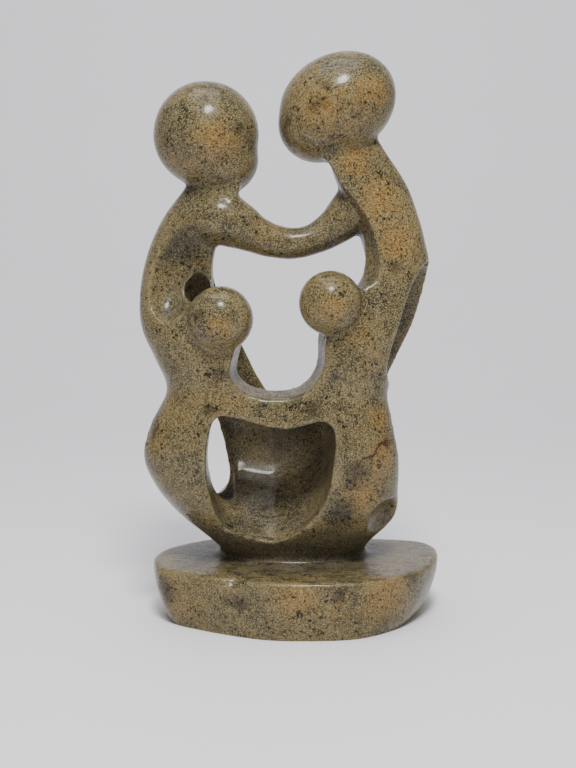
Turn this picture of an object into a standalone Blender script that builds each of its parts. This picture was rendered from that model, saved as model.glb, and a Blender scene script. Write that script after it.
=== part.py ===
"""A family group carved from one piece of mottled stone: two parents, two children and their base.

Blender 4.5, metres, +Z up. The parents' ball heads are at the top, left and right, and the children's
are in front, on the side that faces -Y. The stone is shaped as a carver would: one tapering block, cut
through by windows and hollowed by scoops, with the heads, the parents' joined arms and the base on it.
Sizes in this file are in millimetres until to_metres() places them.
"""

import math

import bmesh
import bpy
import numpy as np
from mathutils import Matrix, Vector

MM = 0.001
COLLECTION = "family_group_sculpture"
NODE = "family_group"

# The middle of the stone's own outline, which becomes the origin.
CENTRE_X = 2.0
CENTRE_Y = -1.2

# The block's level sections: height, left, right, front, back.
BLOCK = (
    (20, -25, 32, -9, 25),
    (30, -31.5, 35.5, -11.5, 27.5),
    (45, -47.7, 48.5, -21, 36),
    (60, -60, 50.3, -26, 39),
    (75, -65.5, 50.4, -27.6, 39.5),
    (90, -61.3, 47.3, -26.7, 38.2),
    (104, -54.3, 45.2, -25, 36.2),
    (117, -58.9, 50.6, -25, 34.6),
    (131, -64.8, 57.3, -24, 33),
    (145, -65.9, 61.4, -20.8, 30.8),
    (157, -64, 63, -17.5, 28.5),
    (168, -60.7, 61, -15.2, 26.4),
    (180, -54.8, 57.6, -12.8, 24.2),
    (193, -45, 52.6, -9.5, 21),
    (207, -39, 43.5, -7.8, 19),
    (222, -33, 34, -6, 16),
)
# How square those sections are: height and power, where 2 is an ellipse.
SQUARENESS = ((20, 2.2), (50, 2.8), (80, 3.0), (150, 3.3), (175, 2.8), (200, 2.2), (222, 2.0))
BLOCK_STEP = 2.0

# Depth of the middle of the figures, behind the middle of the base.
FIGURES_Y = 6.0

# Window outlines as seen from the front, in x and z.
FRONT_WINDOW = (
    (-19.5, 240), (-19.5, 205), (-20, 190), (-26, 178), (-30.8, 167), (-32.4, 157),
    (-31, 146), (-26, 137.5), (-20.8, 131), (-18.6, 126), (-18.9, 121.5), (-20, 117.3),
    (-20.4, 113.4), (-16.9, 109.8), (-10.5, 107.7), (-3.5, 107.3), (2, 108.1), (6.2, 110.2),
    (9.2, 113.6), (11, 117.8), (11.4, 122.5), (11.8, 128), (14.8, 133.4), (21.5, 141),
    (27.3, 148), (31.4, 155), (32.5, 162), (31.8, 171), (28, 180), (21.8, 192), (17.3, 201),
    (11.5, 210), (11, 240),
)
# How the front window widens towards the front: depth and growth.
FRONT_SIDES = ((-60, 6.2), (-30, 5.6), (-22, 4.2), (-12, 2.2), (-6, 1), (4, 0), (9, -1.2))
BACK_WINDOW = (
    (-21, 240), (-21, 205), (-22, 190), (-27, 178), (-32, 166), (-33, 152),
    (-26.5, 134.5), (-19.2, 119), (-9.8, 101.5), (-1, 91), (8, 87), (17, 91),
    (27, 102), (34, 117), (38, 135), (37, 152), (33, 167), (28, 180),
    (22, 193), (18, 204), (12, 212), (11, 240),
)
BACK_SIDES = ((-4, -0.9), (24, 1.0), (42, 4.0), (60, 8.0))
FRONT_HOLE = (
    (-28.7, 94.7), (-21, 93.6), (-11.2, 90.8), (-1.3, 89.3), (6, 90.3), (13.5, 92.3),
    (18.4, 90.5), (20.1, 84), (19.4, 75), (16.6, 60), (9, 47.3), (-3.5, 38.4),
    (-14, 39), (-26, 43), (-31.4, 52), (-34.6, 67), (-34.8, 80), (-32.8, 90.7),
)
# Opening behind the mother's leg, left of her back.
BACK_LEFT_WINDOW = (
    (-80, 26), (-58, 37), (-43, 44.5), (-32, 51.5), (-27.6, 61.5), (-32.6, 83), (-39, 104),
    (-43, 128), (-46.5, 142), (-56, 151), (-80, 166),
)
# Step where the father's robe behind shows beyond his side.
SIDE_STEP = (
    (61.5, 160), (55, 151.5), (51.5, 143), (48.5, 133), (45.5, 124), (43.8, 116),
    (44.3, 110), (46.6, 105.5), (54, 102), (66, 103), (76, 120), (80, 142), (74, 158),
)
# Side windows as seen from the side, in y and z.
LEFT_WINDOW = (
    (6, 156), (0, 149), (-2, 138), (-1, 122), (-3, 104), (-5, 84), (-4, 66),
    (2, 53), (10, 50), (17, 60), (19, 84), (17, 106), (17, 130), (14, 149),
)
RIGHT_WINDOW = (
    (4, 156), (-3, 148), (-5, 134), (-4, 114), (-5, 94), (-5, 76), (-2, 62),
    (4, 53), (10, 55), (15, 66), (16, 84), (14, 106), (13, 130), (11, 149),
)

# Heads: centre, half sizes along x, y and z, and lean about Y in degrees. A parent's has two balls.
PARENT_HEADS = {
    "mother_head": (
        ((-35.8, FIGURES_Y, 215.2), (23.5, 22.6, 23.4), 0),
        ((-28.9, FIGURES_Y - 1, 204.4), (16.3, 17.6, 15.8), 0),
    ),
    "father_head": (
        ((21.6, FIGURES_Y, 228.1), (27.0, 22.4, 22.0), -30),
        ((12.9, FIGURES_Y - 1, 219.9), (17.6, 18.6, 17.5), 0),
    ),
}
CHILD_HEADS = {
    "left_child_head": ((-28.9, -19.5, 136.8), (14.3, 13.8, 14.3)),
    "right_child_head": ((18.2, -19.5, 143.6), (13.8, 13.5, 14.1)),
}
HEAD_EASE_STEPS = 20

# The parents' joined arms: x, y, z and radius along them.
ARMS = (
    (-45, 5, 171, 9.0),
    (-38, 1.5, 178.5, 11.5),
    (-29.5, -0.6, 178.9, 12.5),
    (-21, -1.2, 175.5, 10.7),
    (-14, -0.8, 171.8, 8.5),
    (-6, -0.3, 169, 7.5),
    (3, 0, 168, 7.0),
    (11, 0.5, 169.8, 6.9),
    (18, 2, 173.5, 7.9),
    (26, 4, 180, 10.0),
    (34, 6, 189, 11.3),
)

# Scoops cut into the block: centre, half sizes and lean about Y in degrees.
SCOOPS = {
    "mother_front": ((-34.8, -27, 162.3), (25, 21.5, 26), 19),
    "mother_side": ((-48, -18, 160), (13, 13, 25), 16),
    "mother_hole": ((-39.5, -4, 148), (5.5, 12, 7.0), 10),
    "father_front": ((22, -19.5, 178), (13, 18, 30), -28),
    "mother_back": ((-38, 35, 166), (16, 15, 28), 10),
    "father_back": ((31, 35, 172), (14, 15, 28), -20),
    "right_side_lip": ((52.3, -20, 42.2), (18, 19.5, 17), 0),
}

# Hollow inside the lower figures.
HOLLOW_CENTRE = (-6, 8, 106)
HOLLOW_HALF = (36, 19.5, 42)
HOLE_TOP = 95.0
HOLE_MIDDLE = -9.0
# The hole's rim: depth and how much its outline has grown there.
HOLE_RIM = ((-60, 14), (-34, 2.5), (-27, 0.4), (-14, 0))
# The bowl behind it: depth, and shares of its width to the left and right and of its height.
BOWL = (
    (-2, 1.03, 0.99, 0.883), (7, 1.07, 0.97, 0.735), (12, 1.05, 0.95, 0.655), (15.5, 1.02, 0.93, 0.59),
    (18.5, 0.98, 0.91, 0.51), (21, 0.93, 0.87, 0.40), (23, 0.85, 0.80, 0.27),
)

# Base: outline in x and y at its widest.
BASE_OUTLINE = (
    (-61, -4), (-57, -17), (-44, -26), (-28, -34), (-10, -40.5), (11, -42),
    (32, -40), (46, -33), (58, -21), (66, -6), (69, 8), (68.5, 21), (61, 31),
    (40, 36), (14, 39), (-14, 39), (-38, 34), (-53, 22), (-60, 9),
)
# Its side as height, share of the width and of the depth, and inset.
BASE_SIDE = (
    (-3.0, 0.84, 0.93, 0.0), (0.0, 0.873, 0.955, 0.0), (5.0, 0.925, 0.98, 0.0),
    (10.5, 0.957, 0.992, 0.0), (16.0, 0.982, 1.0, 0.0), (21.0, 0.997, 1.0, 0.0),
    (24.8, 1.0, 1.0, 0.1), (25.8, 1.0, 1.0, 0.5), (26.0, 1.0, 1.0, 1.2),
)
BASE_MIDDLE_X = -5.0
BASE_TOP = 26.0
# Low collar where the figures meet the base: centre, half width, half depth, height.
COLLAR = ((2, 8), 35.0, 19.5, 1.8)
# The nick in the base's front edge.
NICK_PLACE = (-24.0, -36.5, 26.3)
NICK_HALF = (6.2, 4.2, 4.4)

OUTLINE_STEPS = 6
SECTION_STEPS = 64
VOXEL = 1.2
EASE_STEPS = 6
MOST_TRIANGLES = 9400
STONE_COLOUR = (0.30, 0.23, 0.13, 1.0)


def to_metres(point):
    """A point of this file, in millimetres, as metres about the origin."""
    x, y, z = point
    return Vector(((x - CENTRE_X) * MM, (y - CENTRE_Y) * MM, z * MM))


def through(places, values, at):
    """The value at one place of a smooth curve that passes through all the given ones."""
    places = np.asarray(places, float)
    values = np.asarray(values, float)
    slopes = np.gradient(values, places)
    i = int(np.clip(np.searchsorted(places, at) - 1, 0, len(places) - 2))
    span = places[i + 1] - places[i]
    t = (at - places[i]) / span
    start = (2 * t**3 - 3 * t**2 + 1) * values[i] + (t**3 - 2 * t**2 + t) * span * slopes[i]
    end = (3 * t**2 - 2 * t**3) * values[i + 1] + (t**3 - t**2) * span * slopes[i + 1]
    return float(start + end)


def rounded(outline, steps=OUTLINE_STEPS):
    """A closed outline's corners joined by a smooth curve."""
    points = np.array(outline, float)
    before, after = np.roll(points, 1, axis=0), np.roll(points, -1, axis=0)
    after_next = np.roll(points, -2, axis=0)
    smooth = []
    for p0, p1, p2, p3 in zip(before, points, after, after_next):
        for t in np.arange(steps) / steps:
            smooth.append(
                0.5 * (2 * p1 + (p2 - p0) * t + (2 * p0 - 5 * p1 + 4 * p2 - p3) * t**2
                       + (3 * p1 - p0 - 3 * p2 + p3) * t**3)
            )
    return np.array(smooth)


def grown(outline, margin):
    """A closed outline moved outwards by a margin, or inwards by a negative one."""
    along = np.roll(outline, -1, axis=0) - np.roll(outline, 1, axis=0)
    out = np.stack([along[:, 1], -along[:, 0]], axis=1)
    out /= np.linalg.norm(out, axis=1)[:, None]
    x, y = outline[:, 0], outline[:, 1]
    turns_left = (x * np.roll(y, -1) - y * np.roll(x, -1)).sum() > 0
    return outline + out * (margin if turns_left else -margin)


def add_mesh(name, mesh):
    obj = bpy.data.objects.new(name, mesh)
    bpy.context.scene.collection.objects.link(obj)
    return obj


def loft(name, rings):
    """A closed solid through rings of as many points each, in millimetres, with flat ends."""
    bm = bmesh.new()
    loops = [[bm.verts.new(to_metres(point)) for point in ring] for ring in rings]
    for low, high in zip(loops, loops[1:]):
        for i in range(len(low)):
            j = (i + 1) % len(low)
            bm.faces.new((low[i], low[j], high[j], high[i]))
    bm.faces.new(loops[0])
    bm.faces.new(loops[-1])
    bmesh.ops.recalc_face_normals(bm, faces=bm.faces)
    mesh = bpy.data.meshes.new(name)
    bm.to_mesh(mesh)
    bm.free()
    return add_mesh(name, mesh)


def ball(name, centre, half_sizes, lean=0):
    """An egg or ball with these half sizes, leaning about the front-to-back axis."""
    bm = bmesh.new()
    bmesh.ops.create_icosphere(bm, subdivisions=4, radius=MM)
    place = Matrix.Translation(to_metres(centre))
    turn = Matrix.Rotation(math.radians(lean), 4, "Y")
    bm.transform(place @ turn @ Matrix.Diagonal((*half_sizes, 1)))
    mesh = bpy.data.meshes.new(name)
    bm.to_mesh(mesh)
    bm.free()
    return add_mesh(name, mesh)


def soft_head(name, balls):
    """Two balls joined and rubbed down to one smooth form. The second ball is the chin."""
    head, chin = (ball(f"{name}_{i}", *shape) for i, shape in enumerate(balls))
    head.name = name
    boolean(head, chin, "UNION")
    rub_down(head, HEAD_EASE_STEPS)
    return head, chin


def window_from_front(name, outline, sides):
    """A cutter along Y. Each side is a depth and how much the outline has grown there."""
    smooth = rounded(outline)
    rings = [[(x, y, z) for x, z in grown(smooth, margin)] for y, margin in sides]
    return loft(name, rings)


def window_from_side(name, outline, sides):
    """A cutter along X. Each side is a place in x and how much the outline has grown there."""
    smooth = rounded(outline)
    rings = [[(x, y, z) for y, z in grown(smooth, margin)] for x, margin in sides]
    return loft(name, rings)


def make_block():
    """The carver's block: level sections, wide at the hips and narrow at the necks and foot."""
    heights, *sides = zip(*BLOCK)
    power_heights, powers = zip(*SQUARENESS)
    count = round((heights[-1] - heights[0]) / BLOCK_STEP)
    angles = np.arange(SECTION_STEPS) * 2 * math.pi / SECTION_STEPS
    cosines, sines = np.cos(angles), np.sin(angles)
    rings = []
    for z in np.linspace(heights[0], heights[-1], count + 1):
        left, right, front, back = (through(heights, side, z) for side in sides)
        power = through(power_heights, powers, z)
        across = np.sign(cosines) * np.abs(cosines) ** (2 / power)
        deep = np.sign(sines) * np.abs(sines) ** (2 / power)
        x = (left + right) / 2 + across * (right - left) / 2
        y = (front + back) / 2 + deep * (back - front) / 2
        rings.append([(px, py, z) for px, py in zip(x, y)])
    return loft(NODE, rings)


def make_base():
    """The oval base, rounded under its edge. It starts below the ground and is cut flat later."""
    smooth = rounded(BASE_OUTLINE)
    rings = []
    for z, across, deep, inset in BASE_SIDE:
        rings.append([(BASE_MIDDLE_X + (x - BASE_MIDDLE_X) * across, y * deep, z)
                      for x, y in grown(smooth, -inset)])
    return loft("base", rings)


def make_collar():
    (x0, y0), half_width, half_depth, height = COLLAR
    angles = np.arange(SECTION_STEPS) * 2 * math.pi / SECTION_STEPS
    rings = []
    for rise, share in ((-4, 1.0), (0.4, 1.0), (height, 0.95), (height + 2.5, 0.85)):
        x = x0 + half_width * share * np.cos(angles)
        y = y0 + half_depth * share * np.sin(angles)
        rings.append([(px, py, BASE_TOP + rise) for px, py in zip(x, y)])
    return loft("collar", rings)


def make_arms():
    """The parents' joined arms as one bar that thickens into both shoulders."""
    curve = bpy.data.curves.new("arms", "CURVE")
    curve.dimensions = "3D"
    curve.resolution_u = 8
    curve.bevel_depth = MM
    curve.bevel_resolution = 8
    curve.use_fill_caps = True
    spline = curve.splines.new("BEZIER")
    spline.bezier_points.add(len(ARMS) - 1)
    for point, (x, y, z, radius) in zip(spline.bezier_points, ARMS):
        point.co = to_metres((x, y, z))
        point.radius = radius
        point.handle_left_type = point.handle_right_type = "AUTO"
    drawn = add_mesh("arms_line", curve)
    bpy.context.view_layer.update()
    graph = bpy.context.evaluated_depsgraph_get()
    mesh = bpy.data.meshes.new_from_object(drawn.evaluated_get(graph))
    bpy.data.objects.remove(drawn)
    bm = bmesh.new()
    bm.from_mesh(mesh)
    bmesh.ops.remove_doubles(bm, verts=bm.verts, dist=0.01 * MM)
    bmesh.ops.recalc_face_normals(bm, faces=bm.faces)
    bm.to_mesh(mesh)
    bm.free()
    return add_mesh("arms", mesh)


def make_floor_hollow():
    """The hole below the children. Its floor rises to the back like a bowl."""
    smooth = rounded(FRONT_HOLE)
    rings = []
    for y, margin in HOLE_RIM:
        rings.append([(x, y, z) for x, z in grown(smooth, margin)])
    for y, left, right, down in BOWL:
        wide = np.where(smooth[:, 0] < HOLE_MIDDLE, left, right)
        x = HOLE_MIDDLE + (smooth[:, 0] - HOLE_MIDDLE) * wide
        z = HOLE_TOP + (smooth[:, 1] - HOLE_TOP) * down
        rings.append([(px, y, pz) for px, pz in zip(x, z)])
    return loft("floor_hollow", rings)


def make_cutters():
    """Everything that is carved away from the block."""
    cutters = [
        window_from_front("front_window", FRONT_WINDOW, FRONT_SIDES),
        window_from_front("back_window", BACK_WINDOW, BACK_SIDES),
        window_from_front("back_left_window", BACK_LEFT_WINDOW, ((14, 0.0), (60, 3.0))),
        window_from_front("side_step", SIDE_STEP, ((-60, 2.0), (2, 0.0))),
        window_from_side("left_window", LEFT_WINDOW, ((-90, 3.0), (-66, 1.0), (-50, 0.0), (-25, 0.0))),
        window_from_side("right_window", RIGHT_WINDOW, ((27, 0.0), (40, 0.0), (52, 1.0), (80, 3.0))),
        make_floor_hollow(),
        ball("hollow", HOLLOW_CENTRE, HOLLOW_HALF),
    ]
    cutters += [ball(name, *scoop) for name, scoop in SCOOPS.items()]
    return cutters


def boolean(stone, other, operation):
    step = stone.modifiers.new(f"{operation.lower()} {other.name}", "BOOLEAN")
    step.operation = operation
    step.solver = "EXACT"
    step.object = other


def rub_down(piece, steps):
    """An even skin over a piece, with its edges eased."""
    remesh = piece.modifiers.new("even skin", "REMESH")
    remesh.mode = "VOXEL"
    remesh.voxel_size = VOXEL * MM
    ease = piece.modifiers.new("eased edges", "SMOOTH")
    ease.factor = 0.5
    ease.iterations = steps


def set_aside(helpers, collection):
    for helper in helpers:
        for holder in list(helper.users_collection):
            holder.objects.unlink(helper)
        collection.objects.link(helper)
        helper.hide_render = True
        helper.display_type = "WIRE"


def stone_material():
    material = bpy.data.materials.new("mottled_stone")
    material.use_nodes = True
    shader = material.node_tree.nodes["Principled BSDF"]
    shader.inputs["Base Color"].default_value = STONE_COLOUR
    shader.inputs["Roughness"].default_value = 0.35
    shader.inputs["Metallic"].default_value = 0.0
    return material


def clear_scene():
    for obj in list(bpy.data.objects):
        bpy.data.objects.remove(obj, do_unlink=True)


def main():
    clear_scene()
    stone = make_block()
    cutters = make_cutters()
    nick = ball("nick", NICK_PLACE, NICK_HALF)
    added = [make_arms(), make_base(), make_collar()]
    added += [ball(name, *shape) for name, shape in CHILD_HEADS.items()]
    heads, chins = zip(*(soft_head(name, balls) for name, balls in PARENT_HEADS.items()))
    ground = loft("ground", [[(x, y, z) for x, y in ((-99, -99), (99, -99), (99, 99), (-99, 99))]
                             for z in (-20, 0)])

    for cutter in cutters:
        boolean(stone, cutter, "DIFFERENCE")
    for piece in (*added, *heads):
        boolean(stone, piece, "UNION")
    boolean(stone, nick, "DIFFERENCE")

    rub_down(stone, EASE_STEPS)
    bpy.context.view_layer.update()
    graph = bpy.context.evaluated_depsgraph_get()
    faces = len(stone.evaluated_get(graph).data.polygons)
    fewer = stone.modifiers.new("fewer faces", "DECIMATE")
    fewer.ratio = MOST_TRIANGLES / (2 * faces)
    boolean(stone, ground, "DIFFERENCE")
    stone.data.materials.append(stone_material())

    parts = bpy.data.collections.new(COLLECTION)
    helpers = bpy.data.collections.new("cutters_and_additions")
    for collection in (parts, helpers):
        bpy.context.scene.collection.children.link(collection)
    bpy.context.scene.collection.objects.unlink(stone)
    parts.objects.link(stone)
    set_aside([*cutters, nick, *added, *heads, *chins, ground], helpers)


main()
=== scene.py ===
# %% [markdown]
# # A family group carved from one stone
#
# Two parents hold each other over their two children. All four, and the base they stand on, are
# one block of mottled serpentine. The carver took away everything else: windows right through the
# block, a hollow below the children, soft scoops in front of the mother and the father. Then the
# stone was sanded, and polished with wax.
#
# The lesson builds it the same way. A soft block is cut by simple shapes, the round forms are
# joined to it, and one even skin is drawn over the result and rubbed smooth.

# %% The frame and the tools
import math

import bmesh
import bpy
import numpy as np
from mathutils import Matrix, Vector
from mathutils.bvhtree import BVHTree


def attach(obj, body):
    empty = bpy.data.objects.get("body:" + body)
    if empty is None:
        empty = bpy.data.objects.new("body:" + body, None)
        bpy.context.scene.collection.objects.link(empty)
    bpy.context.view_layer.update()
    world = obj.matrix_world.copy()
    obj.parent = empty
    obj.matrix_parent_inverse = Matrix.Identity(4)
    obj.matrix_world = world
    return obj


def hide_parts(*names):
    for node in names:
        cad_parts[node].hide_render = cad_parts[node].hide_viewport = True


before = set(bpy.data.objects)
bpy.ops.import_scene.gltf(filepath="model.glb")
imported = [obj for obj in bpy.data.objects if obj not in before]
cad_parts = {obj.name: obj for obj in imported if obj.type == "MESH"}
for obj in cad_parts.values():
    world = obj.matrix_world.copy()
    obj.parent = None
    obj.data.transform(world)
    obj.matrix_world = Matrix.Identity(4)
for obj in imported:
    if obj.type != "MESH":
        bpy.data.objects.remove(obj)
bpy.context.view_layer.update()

bpy.ops.object.select_all(action="DESELECT")

# %% [markdown]
# ## Places in millimetres
#
# A carver's drawing is easier to read in millimetres, from the middle of the base. One small
# helper turns such a drawing into places in the scene, which is in metres.

# %% From the drawing to the scene
MM = 0.001
CENTRE_X = 2.0
CENTRE_Y = -1.2
FIGURES_Y = 6.0


def placed(points):
    """Points of the drawing, in millimetres, as places in the scene, in metres."""
    return (np.asarray(points, float) - (CENTRE_X, CENTRE_Y, 0.0)) * MM


print("the middle of the drawing lies at", placed((0, 0, 0)))

# %% [markdown]
# ## Smooth outlines
#
# A few points are enough to say where a curve runs. The first helper draws a smooth closed curve
# through them, the second moves a closed curve outwards, and the third gives a value at any
# height between those that are known.

# %% Three helpers for curves
def rounded(outline, steps=6):
    """A smooth closed curve through the corners of an outline."""
    points = np.array(outline, float)
    before, after = np.roll(points, 1, axis=0), np.roll(points, -1, axis=0)
    after_next = np.roll(points, -2, axis=0)
    smooth = []
    for p0, p1, p2, p3 in zip(before, points, after, after_next):
        for t in np.arange(steps) / steps:
            bend = (2 * p0 - 5 * p1 + 4 * p2 - p3) * t**2 + (3 * p1 - p0 - 3 * p2 + p3) * t**3
            smooth.append(0.5 * (2 * p1 + (p2 - p0) * t + bend))
    return np.array(smooth)


def grown(outline, margin):
    """A closed curve moved outwards by a margin, or inwards by a negative one."""
    along = np.roll(outline, -1, axis=0) - np.roll(outline, 1, axis=0)
    out = np.stack([along[:, 1], -along[:, 0]], axis=1)
    out /= np.linalg.norm(out, axis=1)[:, None]
    x, y = outline[:, 0], outline[:, 1]
    turns_left = (x * np.roll(y, -1) - y * np.roll(x, -1)).sum() > 0
    return outline + out * (margin if turns_left else -margin)


def through(places, values, at):
    """The value at one place of a smooth curve that passes through all the given ones."""
    places, values = np.asarray(places, float), np.asarray(values, float)
    slopes = np.gradient(values, places)
    i = int(np.clip(np.searchsorted(places, at) - 1, 0, len(places) - 2))
    span = places[i + 1] - places[i]
    t = (at - places[i]) / span
    start = (2 * t**3 - 3 * t**2 + 1) * values[i] + (t**3 - 2 * t**2 + t) * span * slopes[i]
    end = (3 * t**2 - 2 * t**3) * values[i + 1] + (t**3 - t**2) * span * slopes[i + 1]
    return float(start + end)


print("a square drawn smooth has", len(rounded([(0, 0), (9, 0), (9, 9), (0, 9)])), "points")

# %% [markdown]
# ## A solid through rings
#
# A boat builder sets up frames and planks over them. The same idea makes most of the solids here:
# circles are added, each is moved onto its own section, the circles are bridged, and the two ends
# are filled.

# %% Making a solid through rings
def pick(piece, wanted):
    """In edit mode, selects the vertices whose numbers are wanted, and nothing else."""
    bm = bmesh.from_edit_mesh(piece.data)
    bm.verts.ensure_lookup_table()
    for vertex in bm.verts:
        vertex.select = vertex.index in wanted
    bm.select_flush_mode()
    bmesh.update_edit_mesh(piece.data)


def solid_through(name, rings):
    """A closed solid through rings of as many points each, given in the drawing's millimetres."""
    count = len(rings[0])
    bpy.ops.object.select_all(action="DESELECT")
    bpy.ops.mesh.primitive_circle_add(vertices=count, radius=0.01)
    piece = bpy.context.object
    piece.name = name
    bpy.ops.object.mode_set(mode="EDIT")
    for _ in rings[1:]:
        bpy.ops.mesh.primitive_circle_add(vertices=count, radius=0.01)
    bpy.ops.object.mode_set(mode="OBJECT")
    piece.data.vertices.foreach_set("co", placed(np.concatenate(rings)).ravel())
    bpy.ops.object.mode_set(mode="EDIT")
    for low in range(0, count * (len(rings) - 1), count):
        pick(piece, range(low, low + 2 * count))
        bpy.ops.mesh.bridge_edge_loops()
    for end in (0, count * (len(rings) - 1)):
        pick(piece, range(end, end + count))
        bpy.ops.mesh.edge_face_add()
    bpy.ops.mesh.select_all(action="SELECT")
    bpy.ops.mesh.normals_make_consistent(inside=False)
    bpy.ops.object.mode_set(mode="OBJECT")
    return piece


def volume(piece):
    """The volume that a closed mesh holds, in cubic centimetres."""
    bm = bmesh.new()
    bm.from_mesh(piece.data)
    held = bm.calc_volume() * 1e6
    bm.free()
    return held


print("solids can now be made through rings")

# %% [markdown]
# ## The block
#
# The carver first saws and rasps the block to the group's outline: narrow at the foot, wide at
# the hips, drawn in where the children's bodies end, wide again at the elbows and narrow at the
# necks. Each line of the table is a level section: its height, and how far it reaches to the
# left, right, front and back. The sections are squarer at the hips than at the neck, so the
# figures have a broad flat front.

# %% The block's sections
BLOCK = (
    (20, -25, 32, -9, 25),
    (30, -31.5, 35.5, -11.5, 27.5),
    (45, -47.7, 48.5, -21, 36),
    (60, -60, 50.3, -26, 39),
    (75, -65.5, 50.4, -27.6, 39.5),
    (90, -61.3, 47.3, -26.7, 38.2),
    (104, -54.3, 45.2, -25, 36.2),
    (117, -58.9, 50.6, -25, 34.6),
    (131, -64.8, 57.3, -24, 33),
    (145, -65.9, 61.4, -20.8, 30.8),
    (157, -64, 63, -17.5, 28.5),
    (168, -60.7, 61, -15.2, 26.4),
    (180, -54.8, 57.6, -12.8, 24.2),
    (193, -45, 52.6, -9.5, 21),
    (207, -39, 43.5, -7.8, 19),
    (222, -33, 34, -6, 16),
)
SQUARENESS = ((20, 2.2), (50, 2.8), (80, 3.0), (150, 3.3), (175, 2.8), (200, 2.2), (222, 2.0))
BLOCK_STEP = 2.5
SECTION_POINTS = 64


def block_rings():
    heights, *sides = zip(*BLOCK)
    power_heights, powers = zip(*SQUARENESS)
    count = round((heights[-1] - heights[0]) / BLOCK_STEP)
    angles = np.arange(SECTION_POINTS) * 2 * math.pi / SECTION_POINTS
    rings = []
    for z in np.linspace(heights[0], heights[-1], count + 1):
        left, right, front, back = (through(heights, side, z) for side in sides)
        power = through(power_heights, powers, z)
        across = np.sign(np.cos(angles)) * np.abs(np.cos(angles)) ** (2 / power)
        deep = np.sign(np.sin(angles)) * np.abs(np.sin(angles)) ** (2 / power)
        x = (left + right) / 2 + across * (right - left) / 2
        y = (front + back) / 2 + deep * (back - front) / 2
        rings.append(np.stack([x, y, np.full_like(x, z)], axis=1))
    return rings


stone = solid_through("carved_family_group", block_rings())
print("the block holds", round(volume(stone)), "cubic centimetres")

# %% [markdown]
# ## Cutting and joining
#
# A Boolean modifier takes one solid from another, as a saw and a gouge do, or joins two. It is
# applied at once, and the shape that did the work is thrown away. The exact solver is slower but
# it never leaves a hole in the skin.

# %% One helper to cut and to join
def change(piece, kind, **settings):
    """Adds a modifier to a piece, sets it, and applies it at once."""
    bpy.ops.object.select_all(action="DESELECT")
    piece.select_set(True)
    bpy.context.view_layer.objects.active = piece
    bpy.ops.object.modifier_add(type=kind)
    step = piece.modifiers[-1]
    for key, value in settings.items():
        setattr(step, key, value)
    bpy.ops.object.modifier_apply(modifier=step.name)


def boolean(other, operation):
    """Cuts the other solid from the stone, or joins it to the stone."""
    change(stone, "BOOLEAN", operation=operation, solver="EXACT", object=other)
    name = other.name
    bpy.data.objects.remove(other)
    print(f"{operation.lower():10s} {name:16s} leaves {volume(stone):6.1f} cubic centimetres")


print("ready to cut and join", stone.name)

# %% [markdown]
# ## The windows from front to back
#
# The gap between the parents and the space between the children are one long window, open at the
# top. The front half of the stone and the back half have different outlines, because the robe
# behind is cut lower than the children in front. Each window widens towards the outside, so its
# rim is bevelled and catches the light.

# %% Windows cut along the depth
FRONT_WINDOW = (
    (-19.5, 240), (-19.5, 205), (-20, 190), (-26, 178), (-30.8, 167), (-32.4, 157),
    (-31, 146), (-26, 137.5), (-20.8, 131), (-18.6, 126), (-18.9, 121.5), (-20, 117.3),
    (-20.4, 113.4), (-16.9, 109.8), (-10.5, 107.7), (-3.5, 107.3), (2, 108.1), (6.2, 110.2),
    (9.2, 113.6), (11, 117.8), (11.4, 122.5), (11.8, 128), (14.8, 133.4), (21.5, 141),
    (27.3, 148), (31.4, 155), (32.5, 162), (31.8, 171), (28, 180), (21.8, 192), (17.3, 201),
    (11.5, 210), (11, 240),
)
FRONT_SIDES = ((-60, 6.2), (-30, 5.6), (-22, 4.2), (-12, 2.2), (-6, 1), (4, 0), (9, -1.2))
BACK_WINDOW = (
    (-21, 240), (-21, 205), (-22, 190), (-27, 178), (-32, 166), (-33, 152),
    (-26.5, 134.5), (-19.2, 119), (-9.8, 101.5), (-1, 91), (8, 87), (17, 91),
    (27, 102), (34, 117), (38, 135), (37, 152), (33, 167), (28, 180),
    (22, 193), (18, 204), (12, 212), (11, 240),
)
BACK_SIDES = ((-4, -0.9), (24, 1), (42, 4), (60, 8))
BACK_LEFT_WINDOW = (
    (-80, 26), (-58, 37), (-43, 44.5), (-32, 51.5), (-27.6, 61.5), (-32.6, 83), (-39, 104),
    (-43, 128), (-46.5, 142), (-56, 151), (-80, 166),
)
BACK_LEFT_SIDES = ((14, 0), (60, 3))
SIDE_STEP = (
    (61.5, 160), (55, 151.5), (51.5, 143), (48.5, 133), (45.5, 124), (43.8, 116),
    (44.3, 110), (46.6, 105.5), (54, 102), (66, 103), (76, 120), (80, 142), (74, 158),
)
STEP_SIDES = ((-60, 2), (2, 0))


def cutter_along_y(name, outline, sides):
    """A cutter from front to back. Each side is a depth and how far the outline has grown."""
    smooth = rounded(outline)
    rings = []
    for y, margin in sides:
        x, z = grown(smooth, margin).T
        rings.append(np.stack([x, np.full_like(x, y), z], axis=1))
    return solid_through(name, rings)


boolean(cutter_along_y("front_window", FRONT_WINDOW, FRONT_SIDES), "DIFFERENCE")
boolean(cutter_along_y("back_window", BACK_WINDOW, BACK_SIDES), "DIFFERENCE")
boolean(cutter_along_y("back_left_window", BACK_LEFT_WINDOW, BACK_LEFT_SIDES), "DIFFERENCE")
boolean(cutter_along_y("side_step", SIDE_STEP, STEP_SIDES), "DIFFERENCE")

# %% [markdown]
# ## The windows in the two sides
#
# Seen from the side, each parent's robe is opened too, so the front of the group and the back
# are two thin walls that meet at the head and at the foot.

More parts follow.
